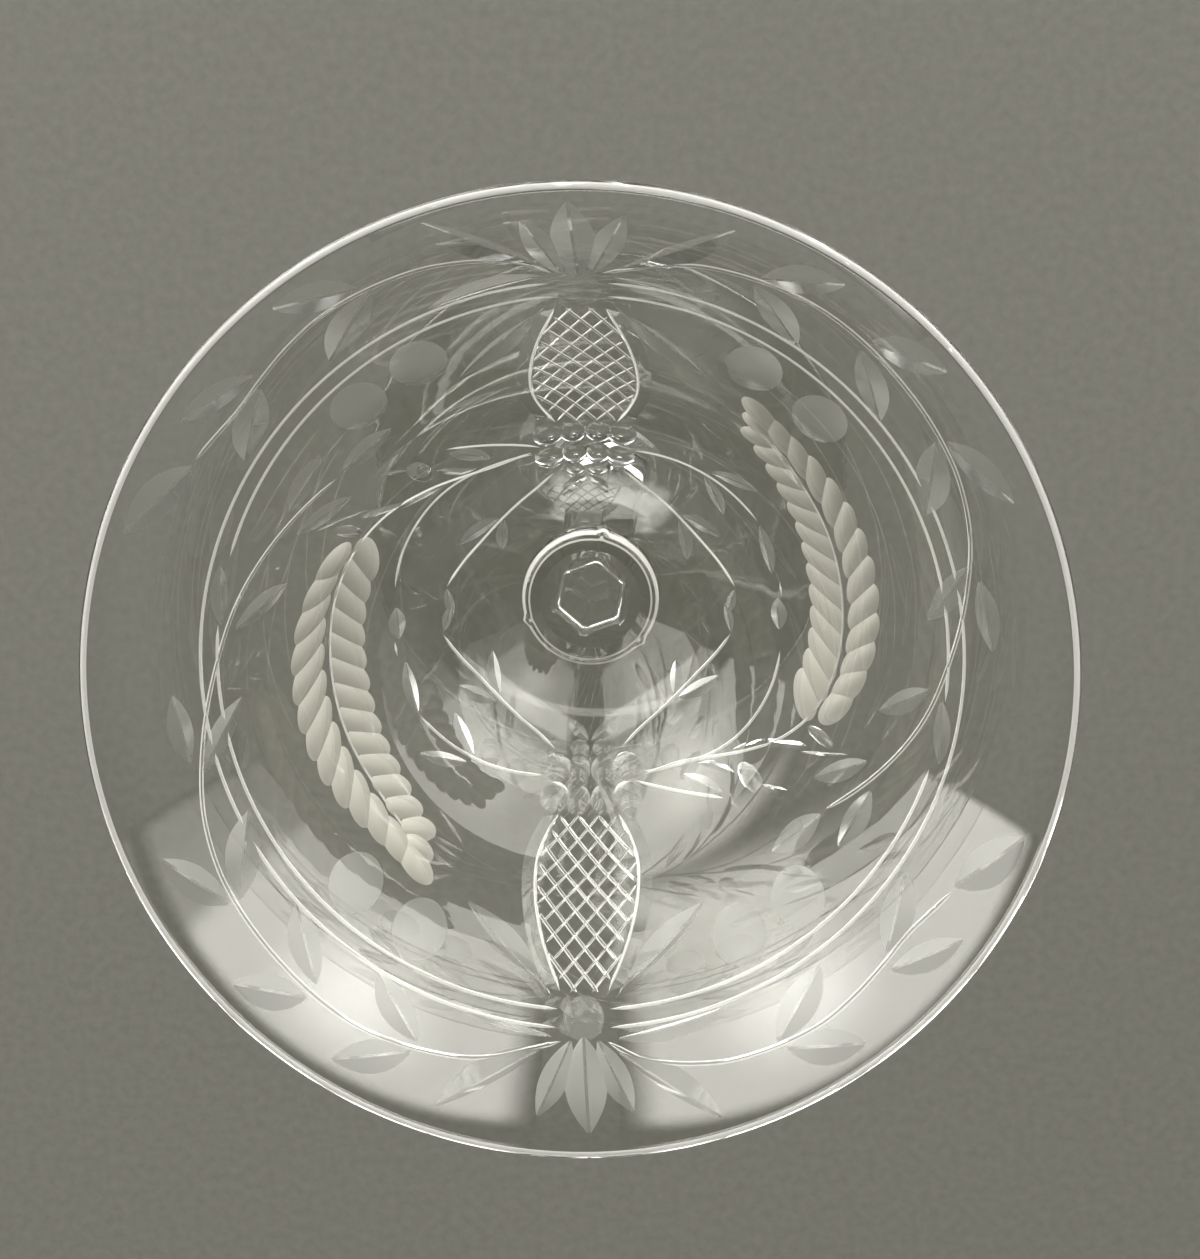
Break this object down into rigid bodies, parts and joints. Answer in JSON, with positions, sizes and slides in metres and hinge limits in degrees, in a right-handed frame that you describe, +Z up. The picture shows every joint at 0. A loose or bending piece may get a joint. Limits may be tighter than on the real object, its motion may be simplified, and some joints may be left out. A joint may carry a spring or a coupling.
{
  "type": "champagne glass",
  "caption": "Clear cut-crystal champagne saucer: flared bell bowl on a round collar, slender six-sided stem and round spreading foot.",
  "frame": {"origin": "on the table under the middle of the foot", "axes": "+Z up the axis of the stem to the open rim; +X along the bowl between its two cut motifs, +Y through one of them"},
  "size_m": [0.095, 0.095, 0.13],
  "materials": {
    "blown_crystal": "fire-polished clear crystal with wheel-cut ornament",
    "pressed_crystal": "pressed and fire-polished clear crystal",
    "foot_crystal": "fire-polished clear crystal"
  },
  "bodies": {
    "root": {"bowl": "blown_crystal", "collar": "pressed_crystal", "stem": "pressed_crystal", "foot": "foot_crystal"}
  },
  "joints": []
}
